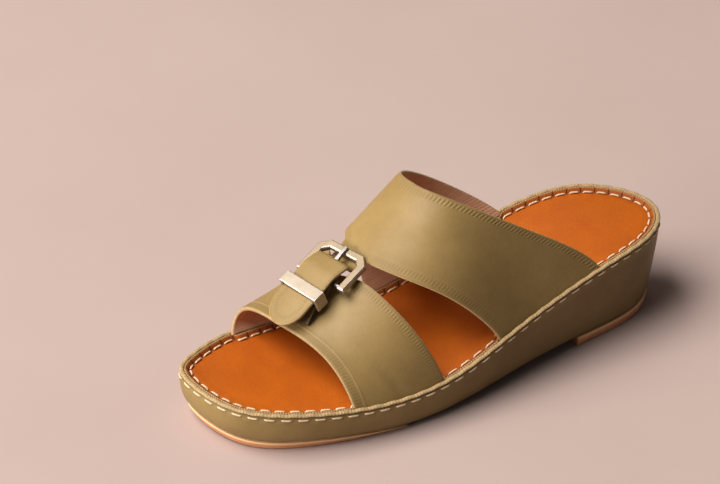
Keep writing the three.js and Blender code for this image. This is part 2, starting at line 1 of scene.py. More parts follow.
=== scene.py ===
"""A left leather slide sandal with a buckled instep strap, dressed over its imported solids.

Metres, +Z up, the toe to -Y and the outer side of the foot to +X.
"""

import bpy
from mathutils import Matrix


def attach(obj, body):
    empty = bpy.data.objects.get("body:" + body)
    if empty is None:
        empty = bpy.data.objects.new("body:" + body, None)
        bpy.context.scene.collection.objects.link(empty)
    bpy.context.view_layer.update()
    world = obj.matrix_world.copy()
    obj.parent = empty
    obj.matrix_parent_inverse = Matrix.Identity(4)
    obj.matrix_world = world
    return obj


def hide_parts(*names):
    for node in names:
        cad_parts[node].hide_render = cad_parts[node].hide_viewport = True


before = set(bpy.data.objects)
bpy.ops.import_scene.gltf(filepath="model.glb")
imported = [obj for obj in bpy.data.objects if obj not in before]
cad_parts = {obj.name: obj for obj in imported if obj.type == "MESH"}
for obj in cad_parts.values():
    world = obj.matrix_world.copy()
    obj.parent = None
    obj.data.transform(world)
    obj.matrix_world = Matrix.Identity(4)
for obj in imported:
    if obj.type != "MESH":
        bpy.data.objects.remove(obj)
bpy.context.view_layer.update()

import math

import bmesh
import bpy
import numpy as np
from mathutils import Matrix, Vector

# The wedge: a light core wrapped in one piece of smooth olive leather. The leather is pulled up
# the side wall, stands as a rim round the footbed with its cut edge bare, and is sewn through
# with waxed cream thread, which dimples the wall a little at every stitch.

MM = 0.001


def smooth_curve(knots, values):
    """A natural cubic spline: cubic pieces that bend alike where they meet, straight at the ends."""
    k = np.asarray(knots, float)
    v = np.asarray(values, float)
    step = np.diff(k)
    inner = np.arange(1, len(k) - 1)
    matrix = np.eye(len(k))
    matrix[inner, inner - 1] = step[:-1]
    matrix[inner, inner] = 2 * (step[:-1] + step[1:])
    matrix[inner, inner + 1] = step[1:]
    turn = np.zeros(len(k))
    turn[1:-1] = 6 * np.diff(np.diff(v) / step)
    bend = np.linalg.solve(matrix, turn)

    def value(x):
        x = np.asarray(x, float)
        i = np.clip(np.searchsorted(k, x), 1, len(k) - 1)
        span = k[i] - k[i - 1]
        a = (k[i] - x) / span
        b = 1 - a
        sag = ((a**3 - a) * bend[i - 1] + (b**3 - b) * bend[i]) * span**2 / 6
        return a * v[i - 1] + b * v[i] + sag

    return value


def ramp(x, low, high):
    """0 below low, 1 above high, and an S curve between them."""
    t = np.clip((x - low) / (high - low), 0, 1)
    return t * t * (3 - 2 * t)


shoe_length = 285 * MM
sole_width = 96 * MM
axis_x = -4.2 * MM
toe_tip, heel_tip = -0.118, 0.018
# station from the toe, half width on the outer and on the inner side, as shares
rim_outline = np.array([
    (0.035, 0.22, 0.28), (0.13, 0.435, 0.393), (0.28, 0.547, 0.432), (0.45, 0.556, 0.401),
    (0.62, 0.474, 0.422), (0.79, 0.393, 0.429), (0.93, 0.296, 0.293),
])
side_count = len(rim_outline)
heel_knot = side_count + 1
knot_total = 2 * heel_knot
knot_x = np.concatenate([[toe_tip], rim_outline[:, 1], [heel_tip], -rim_outline[::-1, 2]])
knot_y = np.concatenate([[0], rim_outline[:, 0], [1], rim_outline[::-1, 0]])
wrapped = np.arange(-5, knot_total + 5)
rim_x = smooth_curve(wrapped, axis_x + knot_x[wrapped % knot_total] * sole_width)
rim_y = smooth_curve(wrapped, (knot_y[wrapped % knot_total] - 0.5) * shoe_length)


def joined(*parts):
    """Points or pairs from their coordinates, spread to one shape."""
    return np.stack(np.broadcast_arrays(*parts), axis=-1)


def outline_place(u, inset):
    """The rim's outline in plan at u, moved inward by inset square to itself."""
    tx = rim_x(u + 0.01) - rim_x(u - 0.01)
    ty = rim_y(u + 0.01) - rim_y(u - 0.01)
    length = np.hypot(tx, ty)
    return rim_x(u) - ty / length * inset, rim_y(u) + tx / length * inset


def station(y):
    return np.clip(y / shoe_length + 0.5, 0, 1)


heel_climb = smooth_curve([0, 0.15, 0.3, 0.45, 0.6, 0.75, 0.88, 1], [0, 0, 0, 0.085, 0.455, 0.795, 1, 1])
toe_climb = smooth_curve([0, 0.15, 0.3, 0.45, 0.6, 0.75, 0.88, 1], [1, 0.48, 0, 0, 0, 0, 0, 0])
outsole_end, lift_start, spring_start = 0.36, 0.77, 0.14
outsole_share = smooth_curve([0, 0.12, 0.22, outsole_end], [1.1, 1.05, 0.88, 0.25])
outsole_thick, lift_height = 5 * MM, 6.5 * MM
fit_gap = 0.3 * MM  # left between neighbours


def rim_height(at):
    return (23 + 32 * heel_climb(at) + 6 * toe_climb(at)) * MM


def spring_height(at):
    return 2 * MM * np.maximum(0, 1 - at / spring_start) ** 2


def outsole_top(at):
    return spring_height(at) + outsole_thick * outsole_share(np.minimum(at, outsole_end))


def wedge_base(at):
    """The wedge's underside: on the rubber in front, a shallow arch, then on the heel lift."""
    arch = outsole_top(outsole_end)
    climb = ramp(at, outsole_end, lift_start)
    return np.where(at < outsole_end, outsole_top(at), arch + (lift_height - arch) * climb) + fit_gap


def undercut(at):
    return (4.2 + 0.2 * at) * MM


wall_at_toe = smooth_curve([0, 0.12, 0.3, 0.55, 0.8, 1], [1, 0.6, 0.22, 0, -0.04, 0])
wall_at_heel = smooth_curve([0, 0.12, 0.3, 0.55, 0.8, 1], [1, 0.85, 0.62, 0.34, 0.1, 0])


def wall_inset(at, up):
    """How far the side wall stands in from the rim, at a share of its height."""
    mix = ramp(at, 0.2, 0.8)
    return undercut(at) * (wall_at_toe(up) * (1 - mix) + wall_at_heel(up) * mix)



around_count = 1400
dense = np.linspace(0, knot_total, 6001)
run = np.concatenate([[0], np.cumsum(np.hypot(np.diff(rim_x(dense)), np.diff(rim_y(dense))))])
rim_length = run[-1]
around_run = np.linspace(0, rim_length, around_count, endpoint=False)
around = np.interp(around_run, run, dense)
around_at = station(rim_y(around))

stitch_total, lip_stitch_total = 73, 77
stitch_pitch, lip_stitch_pitch = rim_length / stitch_total, rim_length / lip_stitch_total
stitch_below_rim = 2.3 * MM

half_way = np.linspace(0, heel_knot, 2001)
inner_half = knot_total - half_way


def outer_rim_x(at):
    return np.interp(at, station(rim_y(half_way)), rim_x(half_way))


def inner_rim_x(at):
    return np.interp(at, station(rim_y(inner_half)), rim_x(inner_half))


def run_along(points):
    return np.concatenate([[0], np.cumsum(np.linalg.norm(np.diff(points, axis=0), axis=-1))])


def in_scene(name, data):
    made = bpy.data.objects.new(name, data)
    bpy.context.scene.collection.objects.link(made)
    return made


def mesh_piece(name, points, faces, uv=None):
    """A smooth mesh of points and faces, with a flat place for each point if one is given."""
    mesh = bpy.data.meshes.new(name)
    mesh.from_pydata(points.reshape(-1, 3), [], faces)
    mesh.polygons.foreach_set("use_smooth", np.ones(len(faces), bool))
    if uv is not None:
        layer = mesh.uv_layers.new(name="along")
        corner = np.empty(len(mesh.loops), np.int32)
        mesh.loops.foreach_get("vertex_index", corner)
        layer.data.foreach_set("uv", uv.reshape(-1, 2)[corner].astype(np.float32).ravel())
    mesh.update()
    return in_scene(name, mesh)


def lay_mesh(name, grid, loop_columns=False, uv=None, flip=False):
    """A mesh of quads over a grid of points, shape (rows, columns, 3), closed round its columns or not."""
    rows, columns = grid.shape[:2]
    index = np.arange(rows * columns).reshape(rows, columns)
    if loop_columns:
        index = np.hstack([index, index[:, :1]])
    a, b = index[:-1, :-1], index[:-1, 1:]
    c, d = index[1:, 1:], index[1:, :-1]
    quads = np.stack([a, d, c, b] if flip else [a, b, c, d], axis=-1).reshape(-1, 4)
    return mesh_piece(name, grid, quads, uv)


def mark(piece, name, values):
    """A number at every vertex that the materials can read."""
    layer = piece.data.attributes.new(name, "FLOAT", "POINT")
    layer.data.foreach_set("value", np.asarray(values, np.float32).ravel())


def ladder(ring, shares, height):
    """Rows that close a ring: each moves sideways by a share toward the line midway between the
    ring's two sides, found by interpolation at the same place along the shoe."""
    x, y = ring[:, 0], ring[:, 1]
    toe, heel = np.argmin(y), np.argmax(y)
    order = np.roll(np.arange(len(y)), -toe)
    turn_at = (heel - toe) % len(y)
    one, other = order[:turn_at + 1], np.append(order[turn_at:], toe)[::-1]
    middle = (np.interp(y, y[one], x[one]) + np.interp(y, y[other], x[other])) / 2
    return [joined(x + (middle - x) * s, y, height(station(y), s)) for s in shares]


def wedge_rows():
    """Rings up the side wall, over the rim's cut edge and down inside it, each a function of the
    way round. The wall follows the section tables and is dimpled and creased."""
    at = around_at
    base, rim = wedge_base(at), rim_height(at)
    phase = np.cos(2 * np.pi * around_run / stitch_pitch)
    rim_wave = 0.16 * MM * phase
    rows, edges = [], []

    def ring(inset, height, edge):
        x, y = outline_place(around, inset)
        rows.append(joined(x, y, height))
        edges.append(edge)

    # soft troughs where the leather is gathered: way round, width, depth, lean
    troughs = [(0.215, 9, 0.5, 5), (0.255, 6, 0.35, -4), (0.335, 14, 0.35, 8), (0.08, 8, 0.25, 3),
               (0.93, 8, 0.3, -4), (0.64, 12, 0.35, 6), (0.77, 9, 0.3, -5), (0.53, 10, 0.25, 4)]

    def folds(rise):
        total = np.zeros_like(around_run)
        for place, width, depth, lean in troughs:
            centre = place * rim_length + lean * MM * (rise - 0.5) * 2
            total += depth * MM * np.exp(-(((around_run - centre) / (width * MM)) ** 2))
        return total * np.sin(np.pi * np.clip(rise, 0, 1)) ** 0.7

    heights = np.concatenate([[0, 0.012, 0.03, 0.06], np.linspace(0.1, 1, 30)])
    for rise in heights:
        z = base + (rim - 1.15 * MM - base) * rise
        up = (z - base) / (rim - base)
        inset = wall_inset(at, up) + 0.9 * MM * (1 - ramp(rise, 0, 0.05)) + folds(rise)
        below = rim - z
        dimple = 0.3 * MM * (0.5 + 0.5 * phase) * np.exp(-(((below - stitch_below_rim) / (1.1 * MM)) ** 2))
        ring(inset + dimple, z, 0)
    # the groove under the bead, the bead, its cut edge and the inside of the standing rim
    # down from the rim, inset, share of bare cut edge
    bead = [(1.0, 0.25, 0), (0.85, 0.48, 0.2), (0.68, 0.42, 0.5), (0.48, 0.05, 1), (0.15, -0.12, 1),
            (-0.25, -0.05, 1), (-0.55, 0.25, 1), (-0.72, 0.7, 1), (-0.75, 1.2, 1), (-0.7, 1.75, 1),
            (-0.5, 2.1, 1), (-0.1, 2.3, 1), (4, 2.3, 1), (7.5, 2.2, 1)]
    for down, inset, edge in bead:
        ring(inset * MM, rim - down * MM + rim_wave * np.exp(-down / 3), edge)
    return rows, edges


rows, edges = wedge_rows()
low, high = rows[0], rows[-1]
floor_rows = ladder(low, [1, 0.96, 0.8, 0.5, 0.2, 0.06, 0.02], lambda at, s: wedge_base(at))
seat_rows = ladder(high, [0.05, 0.4, 0.8, 1], lambda at, s: rim_height(at) - 8 * MM)
grid = np.array(floor_rows + rows + seat_rows)
edge_mark = np.array([0] * len(floor_rows) + edges + [1] * len(seat_rows))
uv = joined(around_run[None, :], grid[:, :, 2])
wedge_wrap = lay_mesh("wedge_wrap", grid, loop_columns=True, uv=uv)
mark(wedge_wrap, "cut_edge", np.repeat(edge_mark, around_count))
mark(wedge_wrap, "inside", np.zeros(grid.shape[:2]))
grid_at = station(grid[:, :, 1])
below_rim = rim_height(grid_at) - grid[:, :, 2]
# painted shade: darker in the groove under the bead, along the ground, and on the lower wall toward the heel
mark(wedge_wrap, "painted_shade", ramp(below_rim, 0.45 * MM, 0.8 * MM) * (1 - ramp(below_rim, 0.95 * MM, 1.4 * MM))
     + 0.5 * (1 - ramp(grid[:, :, 2] - wedge_base(grid_at), 0.5 * MM, 3 * MM))
     + ramp(below_rim, 1.6 * MM, 9 * MM) * 0.5 * ramp(grid_at, 0.3, 0.62))


def add_node(tree, kind, **settings):
    made = tree.nodes.new(kind)
    for key, value in settings.items():
        setattr(made, key, value)
    return made


def feed(tree, node, values):
    """Inputs of a node: numbers and colours are set, sockets are linked, None is left alone."""
    for label, value in values.items():
        socket = node.inputs[label]
        if isinstance(value, bpy.types.NodeSocket):
            tree.links.new(value, socket)
        elif value is not None:
            socket.default_value = (*value, 1.0) if socket.type == "RGBA" else value


def reckon(tree, operation, a, b=None, clamp=False):
    """One sum: a and b are numbers or sockets."""
    made = add_node(tree, "ShaderNodeMath", operation=operation, use_clamp=clamp)
    feed(tree, made, {0: a, 1: b})
    return made.outputs[0]


def plus(tree, a, b):
    return reckon(tree, "ADD", a, b)


def minus(tree, a, b):
    return reckon(tree, "SUBTRACT", a, b)


def times(tree, a, b, clamp=False):
    return reckon(tree, "MULTIPLY", a, b, clamp)


def coordinate(tree, kind):
    return add_node(tree, "ShaderNodeTexCoord").outputs[kind]


def split_axes(tree, vector):
    made = add_node(tree, "ShaderNodeSeparateXYZ")
    feed(tree, made, {0: vector})
    return made.outputs


def noise_node(tree, place, scale, detail=2, roughness=0.5):
    made = add_node(tree, "ShaderNodeTexNoise")
    feed(tree, made, {"Scale": scale, "Detail": detail, "Roughness": roughness, "Vector": place})
    return made.outputs["Fac"]


def ribbing(tree, way, pitch):
    """A wave of even ribs from 0 to 1, at a pitch along a way."""
    wave = reckon(tree, "SINE", times(tree, way, 2 * math.pi / pitch))
    return plus(tree, times(tree, wave, 0.5), 0.5)


def marked(tree, name):
    """The number that mark() gave each vertex."""
    return add_node(tree, "ShaderNodeAttribute", attribute_name=name).outputs["Fac"]


def relief(tree, shader, height, strength, distance):
    """Small relief in the surface from a height."""
    bump = add_node(tree, "ShaderNodeBump")
    feed(tree, bump, {"Strength": strength, "Distance": distance, "Height": height})
    feed(tree, shader, {"Normal": bump.outputs["Normal"]})


def make_grain_group():
    """Leather grain: two sizes of pebble cells, pores and a slow swell, as one height, and a
    cloud of light and dark that is stronger where the hide is looser."""
    tree = bpy.data.node_groups.new("leather_grain", "ShaderNodeTree")
    number, vector = "NodeSocketFloat", "NodeSocketVector"
    for label, kind in (("Place", vector), ("Pebble size", number), ("Softness", number)):
        tree.interface.new_socket(label, in_out="INPUT", socket_type=kind)
    for label in ("Height", "Cloud", "Pores"):
        tree.interface.new_socket(label, in_out="OUTPUT", socket_type=number)
    given, result = add_node(tree, "NodeGroupInput").outputs, add_node(tree, "NodeGroupOutput")
    scale = reckon(tree, "DIVIDE", 1.0, given["Pebble size"])
    cells = []
    for factor in (1.0, 2.3):
        cell = add_node(tree, "ShaderNodeTexVoronoi", feature="SMOOTH_F1")
        feed(tree, cell, {"Smoothness": 0.6, "Vector": given["Place"], "Scale": times(tree, scale, factor)})
        cells.append(cell.outputs["Distance"])
    swell = noise_node(tree, given["Place"], 60, 3)
    cloud = noise_node(tree, given["Place"], 24, 6, 0.62)
    pores = noise_node(tree, given["Place"], 1900)
    small = times(tree, cells[1], 0.45)
    pebble = plus(tree, cells[0], small)
    pebble = times(tree, pebble, minus(tree, 1.0, given["Softness"]))
    height = plus(tree, pebble, times(tree, swell, 1.1))
    height = plus(tree, height, times(tree, pores, 0.25))
    feed(tree, result, {"Height": height, "Cloud": cloud, "Pores": pores})
    return tree


grain_group = make_grain_group()


def grain_at(tree, place, pebble, softness):
    grain = add_node(tree, "ShaderNodeGroup", node_tree=grain_group)
    feed(tree, grain, {"Pebble size": pebble, "Softness": softness, "Place": place})
    return grain.outputs


def start_material(name):
    material = bpy.data.materials.new(name)
    material.use_nodes = True
    return material, material.node_tree, material.node_tree.nodes["Principled BSDF"]


def mix_colours(tree, share, first, second):
    made = add_node(tree, "ShaderNodeMix", data_type="RGBA")
    feed(tree, made, {0: share, 6: first, 7: second})
    return made.outputs[2]


def shade(colour, share):
    return tuple(c * share for c in colour)


def range_node(tree, value, low, high, to_low=0.0, to_high=1.0):
    made = add_node(tree, "ShaderNodeMapRange")
    feed(tree, made, {"Value": value, "From Min": low, "From Max": high, "To Min": to_low, "To Max": to_high})
    return made.outputs["Result"]


def leather_material(name, light, dark, edge_colour, inside_colour, roughness=0.52, coat=0.02):
    """Smooth drum-dyed leather. Its bare cut edges and its flesh side have colours of their own.
    Grooves, holes and shaded places are drawn darker from a mark, as painted shade, and so are the
    hollows between the cut edge's ribs."""
    material, tree, shader = start_material(name)
    place = coordinate(tree, "Object")
    grain = grain_at(tree, place, 1 * MM, 0.45)
    read = {label: marked(tree, label) for label in ("cut_edge", "inside", "painted_shade")}
    tone = range_node(tree, grain["Cloud"], 0.36, 0.66)
    colour = mix_colours(tree, tone, dark, light)
    fleck = range_node(tree, grain["Pores"], 0.3, 0.5, 0.35, 0.0)
    colour = mix_colours(tree, fleck, colour, shade(dark, 0.72))
    along = add_node(tree, "ShaderNodeMapping")
    feed(tree, along, {"Scale": (1 / (0.7 * MM), 14, 1), "Vector": coordinate(tree, "UV")})
    nap = noise_node(tree, along.outputs[0], 1, 3)
    napped = mix_colours(tree, range_node(tree, nap, 0.35, 0.65), shade(inside_colour, 0.8), inside_colour)
    colour = mix_colours(tree, read["inside"], colour, napped)
    fibre = noise_node(tree, place, 900, 4)
    edge_tone = mix_colours(tree, range_node(tree, fibre, 0.35, 0.65), shade(edge_colour, 0.74), edge_colour)
    ridge = ribbing(tree, split_axes(tree, coordinate(tree, "UV"))["X"], 1.8 * MM)
    # painted shade in the hollows between the cut edge's ribs
    hollow_shade = range_node(tree, ridge, 0, 0.6, 0.28, 0.0)
    edge_tone = mix_colours(tree, hollow_shade, edge_tone, shade(edge_colour, 0.5))
    colour = mix_colours(tree, read["cut_edge"], colour, edge_tone)
    # painted shade: the marked grooves, holes and shaded places drawn toward a dark tone
    painted_shade = times(tree, read["painted_shade"], 0.62)
    colour = mix_colours(tree, painted_shade, colour, shade(dark, 0.3))
    bare = reckon(tree, "MAXIMUM", read["cut_edge"], read["inside"])
    rough = range_node(tree, grain["Cloud"], 0.35, 0.65, roughness + 0.05, roughness - 0.04)
    rough = plus(tree, rough, times(tree, bare, 0.33))
    feed(tree, shader, {"Base Color": colour, "Roughness": rough, "Specular IOR Level": 0.24,
                        "Coat Weight": times(tree, minus(tree, 1.0, bare), coat), "Coat Roughness": 0.3})
    height = grain["Height"]
    for form, where, share in ((fibre, bare, 2.0), (ridge, read["cut_edge"], 1.4)):
        there = times(tree, times(tree, form, where), share)
        height = plus(tree, height, there)
    relief(tree, shader, height, 0.3, 0.25 * MM)
    return material


olive_leather = leather_material(
    "olive_leather", light=(0.258, 0.171, 0.06), dark=(0.203, 0.129, 0.042),
    edge_colour=(0.42, 0.285, 0.135), inside_colour=(0.7, 0.44, 0.27))
wedge_wrap.data.materials.append(olive_leather)
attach(wedge_wrap, "root")
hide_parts("wedge_midsole")

# The footbed: orange tan leather over thin foam. Its edge turns up inside the rim as a lip with
# fine pressed ribs, and the lip is sewn down at its foot, where the thread leaves slots painted
# dark as painted shade.

strap_shares = np.array([0, 0.25, 0.5, 0.75, 1])
# strap edges from the outer rim over the crown to the inner rim, as shares of the length
strap_edges = {
    "toe_front": [0.251, 0.227, 0.184, 0.162, 0.14],
    "toe_rear": [0.435, 0.368, 0.337, 0.342, 0.299],
    "instep_front": [0.566, 0.42, 0.361, 0.394, 0.43],
    "instep_rear": [0.804, 0.587, 0.488, 0.54, 0.734],
}
strap_thick = 2.2 * MM
rim_wall = 2.2 * MM
rim_inside = rim_wall + fit_gap


def strap_room(u):
    """How far the strap ends push the lip inward, at a place on the outline."""
    at = station(rim_y(u))
    outer = (u > 0) & (u < heel_knot)
    room = np.zeros_like(at)
    for front, rear in (("toe_front", "toe_rear"), ("instep_front", "instep_rear")):
        first = np.where(outer, strap_edges[front][0], strap_edges[front][-1])
        last = np.where(outer, strap_edges[rear][0], strap_edges[rear][-1])
        step = 2 * MM / shoe_length
        room += ramp(at, first - step, first + step) * (1 - ramp(at, last - step, last + step))
    return room * (strap_thick + 2 * fit_gap)


def footbed_rows():
    """Rings from under the lip up its outside, over its top and down to the seam, then out over
    the padding; the last rows close on the middle line with a shallow dish for the foot."""
    rim = rim_height(around_at)
    edge = rim_inside + strap_room(around)
    phase = np.cos(2 * np.pi * around_run / lip_stitch_pitch)
    # from the rim's inner face, down from the rim, rib, lip's inner wall, pulled by the stitches
    profile = [
        (1.0, 7.6, 0, 0, 0), (0.2, 7.2, 0, 0, 0), (-0.15, 6.4, 0, 0, 0), (-0.17, 0.5, 0.5, 0, 0),
        (-0.1, -0.05, 1, 0, 0), (0.12, -0.38, 1, 0, 0), (0.4, -0.52, 1, 0, 0), (0.75, -0.5, 1, 0.1, 0.1),
        (1.1, -0.34, 0.5, 0.5, 0.2), (1.45, -0.08, 0.1, 0.9, 0.4), (1.8, 0.28, 0, 1, 0.6),
        (2.15, 0.7, 0, 1, 0.8), (2.45, 1.1, 0, 1, 1), (2.75, 1.42, 0, 1, 1), (3.1, 1.66, 0, 0.8, 1),
        (3.6, 1.76, 0, 0.3, 1), (4.1, 1.7, 0, 0, 1), (4.9, 1.52, 0, 0, 0.8), (6.0, 1.42, 0, 0, 0.5),
        (7.6, 1.4, 0, 0, 0.2), (9.5, 1.45, 0, 0, 0),
    ]
    rows, ribs, walls = [], [], []
    for inward, down, rib, wall, pull in profile:
        x, y = outline_place(around, edge + inward * MM)
        dip = 0.2 * MM * pull * (0.5 + 0.5 * phase)
        own = ramp(inward, 2, 9)
        level = rim * (1 - own) + rim_height(station(y)) * own
        rows.append(joined(x, y, level - down * MM - dip))
        ribs.append(rib)
        walls.append(wall)
    return rows, ribs, walls


rows, ribs, walls = footbed_rows()
inner = rows[-1]
under = ladder(rows[0], [1, 0.7, 0.3], lambda at, s: rim_height(at) - 7.6 * MM)


def dish(at, share):
    """The footbed's middle: a little lower than its edge, most under the heel and the toes."""
    hollow = 0.3 + 0.9 * ramp(at, 0.6, 0.78) + 0.5 * (1 - ramp(at, 0.2, 0.36))
    hollow = hollow * ramp(at, 0.05, 0.2) * (1 - ramp(at, 0.82, 0.95))
    return rim_height(at) - (1.45 + hollow * np.sin(np.pi * share / 2) ** 2) * MM


over = ladder(inner, [0.03, 0.07, 0.12, 0.18, 0.26, 0.35, 0.45, 0.55, 0.65, 0.75, 0.85, 0.93, 1], dish)
grid = np.array(under + rows + over)
profile_run = run_along(grid[:, 300])  # measured up one place on the outer side
uv = joined(around_run[None, :], profile_run[:, None])
footbed = lay_mesh("footbed", grid, loop_columns=True, uv=uv)
mark(footbed, "rib", np.repeat([0] * len(under) + ribs + [0] * len(over), around_count))
mark(footbed, "lip_wall", np.repeat([0] * len(under) + walls + [0] * len(over), around_count))


def footbed_material():
    """Matt orange tan lining leather, lighter and browner where it is turned up into the lip, with painted
    shade between the lip's ribs, on its inner wall and in the stitch slots.
    """
    material, tree, shader = start_material("footbed_leather")
    way = split_axes(tree, coordinate(tree, "UV"))["X"]
    grain = grain_at(tree, coordinate(tree, "Object"), 0.7 * MM, 0.3)
    rib, wall = marked(tree, "rib"), marked(tree, "lip_wall")
    tone = range_node(tree, grain["Cloud"], 0.36, 0.66)
    colour = mix_colours(tree, tone, (0.34, 0.068, 0.002), (0.42, 0.092, 0.003))
    fleck = range_node(tree, grain["Pores"], 0.3, 0.5, 0.4, 0.0)
    colour = mix_colours(tree, fleck, colour, (0.2, 0.035, 0.001))
    ridge = ribbing(tree, way, 1.45 * MM)
    # painted shade in the hollows between the lip's ribs
    lip = mix_colours(tree, ridge, (0.2, 0.1, 0.035), (0.43, 0.27, 0.12))
    colour = mix_colours(tree, rib, colour, lip)
    turn = reckon(tree, "FRACT", reckon(tree, "DIVIDE", way, float(lip_stitch_pitch)))
    from_slot = reckon(tree, "ABSOLUTE", minus(tree, turn, 0.5))
    slot = range_node(tree, from_slot, 0.43, 0.47)
    slot = times(tree, slot, wall, clamp=True)
    # painted shade on the lip's inner wall and in the stitch slots
    colour = mix_colours(tree, times(tree, wall, 0.55), colour, (0.2, 0.05, 0.01))
    colour = mix_colours(tree, times(tree, slot, 0.85), colour, (0.045, 0.014, 0.006))
    rough = range_node(tree, grain["Cloud"], 0.35, 0.65, 0.66, 0.56)
    feed(tree, shader, {"Base Color": colour, "Roughness": rough, "Specular IOR Level": 0.18})
    ribbed = times(tree, times(tree, ridge, rib), 1.6)
    height = plus(tree, grain["Height"], ribbed)
    height = minus(tree, height, times(tree, slot, 2.5))
    relief(tree, shader, height, 0.4, 0.3 * MM)
    return material


footbed.data.materials.append(footbed_material())
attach(footbed, "root")
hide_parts("insole")

# The rubber: a thin tan forefoot sole with toe spring, skived away under the arch, and a lift
# under the heel. Both are cemented on and trimmed a hair proud of the leather.


def end_ring(end_at, tip, inset, count):
    """The outline round the toe (tip 0) or heel as far as a station, closed straight across."""
    outer = np.interp(end_at, station(rim_y(half_way)), half_way)
    inner_u = np.interp(end_at, station(rim_y(inner_half)), inner_half)
    start, stop = (inner_u - knot_total, outer) if tip == 0 else (outer, inner_u)
    u = np.linspace(start, stop, count)
    x, y = outline_place(u, inset(station(rim_y(u))))
    across = np.linspace(0, 1, 26)[1:-1]
    return np.append(x, x[-1] + (x[0] - x[-1]) * across), np.append(y, y[-1] + (y[0] - y[-1]) * across)


def rubber_piece(name, end_at, tip, profile, bottom, top):
    """Rings from the ground up; each profile row is (rise, inset in mm)."""
    rings = []
    for rise, inward in profile:
        x, y = end_ring(end_at, tip, lambda at: undercut(at) + inward * MM, 420)
        at = station(y)
        rings.append(joined(x, y, bottom(at) + (top(at) - bottom(at)) * rise))
    first, last = rings[0], rings[-1]
    ground = ladder(first, [1, 0.9, 0.6, 0.3, 0.05], lambda at, s: bottom(at))
    upper = ladder(last, [0.05, 0.5, 1], lambda at, s: top(at))
    piece = lay_mesh(name, np.array(ground + rings + upper), loop_columns=True)
    # painted highlight: paler toward the top edge
    highlight_share = [float(ramp(rise, 0.7, 0.95)) for rise, inward in profile]
    mark(piece, "painted_highlight", np.repeat([0] * len(ground) + highlight_share + [1] * len(upper), len(first)))
    return piece


def rubber_material():
    """Dense tan rubber, moulded with a fine even texture, painted paler along its top edges as a painted
    highlight.
    """
    material, tree, shader = start_material("tan_rubber")
    place = coordinate(tree, "Object")
    fine, broad = noise_node(tree, place, 1400, 3), noise_node(tree, place, 45, 5)
    colour = mix_colours(tree, range_node(tree, broad, 0.35, 0.65), (0.56, 0.235, 0.1), (0.64, 0.29, 0.125))
    colour = mix_colours(tree, range_node(tree, fine, 0.3, 0.45, 0.3, 0.0), colour, (0.32, 0.14, 0.065))
    # painted highlight along the top edges
    colour = mix_colours(tree, marked(tree, "painted_highlight"), colour, (0.8, 0.48, 0.24))
    rough = range_node(tree, broad, 0.3, 0.7, 0.6, 0.5)
    feed(tree, shader, {"Base Color": colour, "Roughness": rough, "Specular IOR Level": 0.4})
    tread = add_node(tree, "ShaderNodeTexWave", wave_type="BANDS", bands_direction="DIAGONAL")
    feed(tree, tread, {"Scale": 110, "Distortion": 0, "Vector": place})
    under = range_node(tree, split_axes(tree, place)["Z"], 0.0004, 0.0008, 1.0, 0.0)
    treads = times(tree, times(tree, tread.outputs["Fac"], under), 3.0)
    relief(tree, shader, plus(tree, fine, treads), 0.3, 0.2 * MM)
    return material


tan_rubber = rubber_material()
forefoot_sole = rubber_piece(
    "forefoot_sole", outsole_end, 0,
    [(0, 2.2), (0.03, 1.75), (0.1, 1.35), (0.35, 0.55), (0.65, -0.05), (0.8, -0.45), (0.9, -0.6),
     (0.97, -0.5), (1, -0.2), (1, 1.2)],
    spring_height, outsole_top)
heel_piece = rubber_piece(
    "heel_piece", lift_start, heel_knot,
    [(0, 1.2), (0.03, 0.75), (0.1, 0.5), (0.5, 0.2), (0.85, 0.0), (0.95, 0.0), (1, 0.3), (1, 1.5)],
    lambda at: 0 * at, lambda at: lift_height + 0 * at)
for piece, node in ((forefoot_sole, "outsole_forefoot"), (heel_piece, "heel_lift")):
    piece.data.materials.append(tan_rubber)
    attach(piece, "root")
    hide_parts(node)

# The straps: two wide bands of the same olive leather on a tan lining, lasted over the foot and
# pulled down between rim and lip. A band of pressed ridges follows each edge, bold along the
# rear edges and fine along the front ones, and the cut edges are left pale.

crown_height = smooth_curve([0.13, 0.255, 0.375, 0.5, 0.625, 0.765], [0.433, 0.528, 0.743, 1, 1.087, 1.11])
instep_height = 110 * MM
edge_at = {name: smooth_curve(strap_shares, shares) for name, shares in strap_edges.items()}
buckle_x, buckle_y = axis_x - 12 * MM, -43.3 * MM
tab_width, tab_length, tab_yaw = 22.4 * MM, 51.5 * MM, math.radians(13)


def last_place(at, across):
    """The last's surface: an arch from rim to rim (0 to 1), a superellipse that leans inward."""
    share = (at - 0.13) / 0.635
    lean = (-0.096 - 0.211 * share) * sole_width
    outer_side = across < 0.5
    fullness = np.where(outer_side, 2.03 + 0.53 * share, 2.26 - 0.02 * share)
    power = 2 / fullness
    left, right = inner_rim_x(at) + rim_inside, outer_rim_x(at) - rim_inside
    out = np.abs(np.cos(np.pi * across)) ** power * np.where(outer_side, 1, -1)
    up = np.abs(np.sin(np.pi * across)) ** power
    rim = rim_height(at)
    x = (left + right) / 2 + (right - left) / 2 * out + lean * up
    z = rim + (crown_height(at) * instep_height - rim) * up
    return joined(x, (at - 0.5) * shoe_length, z)


def last_height(x, y):
    """Height of the last over a place in plan, by halving the way across it."""
    x, y = np.broadcast_arrays(np.asarray(x, float), np.asarray(y, float))
    low, high = np.zeros(x.shape), np.full(x.shape, 0.85)
    for _ in range(30):
        middle = (low + high) / 2
        beyond = last_place(y / shoe_length + 0.5, middle)[..., 0] > x
        low, high = np.where(beyond, middle, low), np.where(beyond, high, middle)
    return last_place(y / shoe_length + 0.5, low)[..., 2]


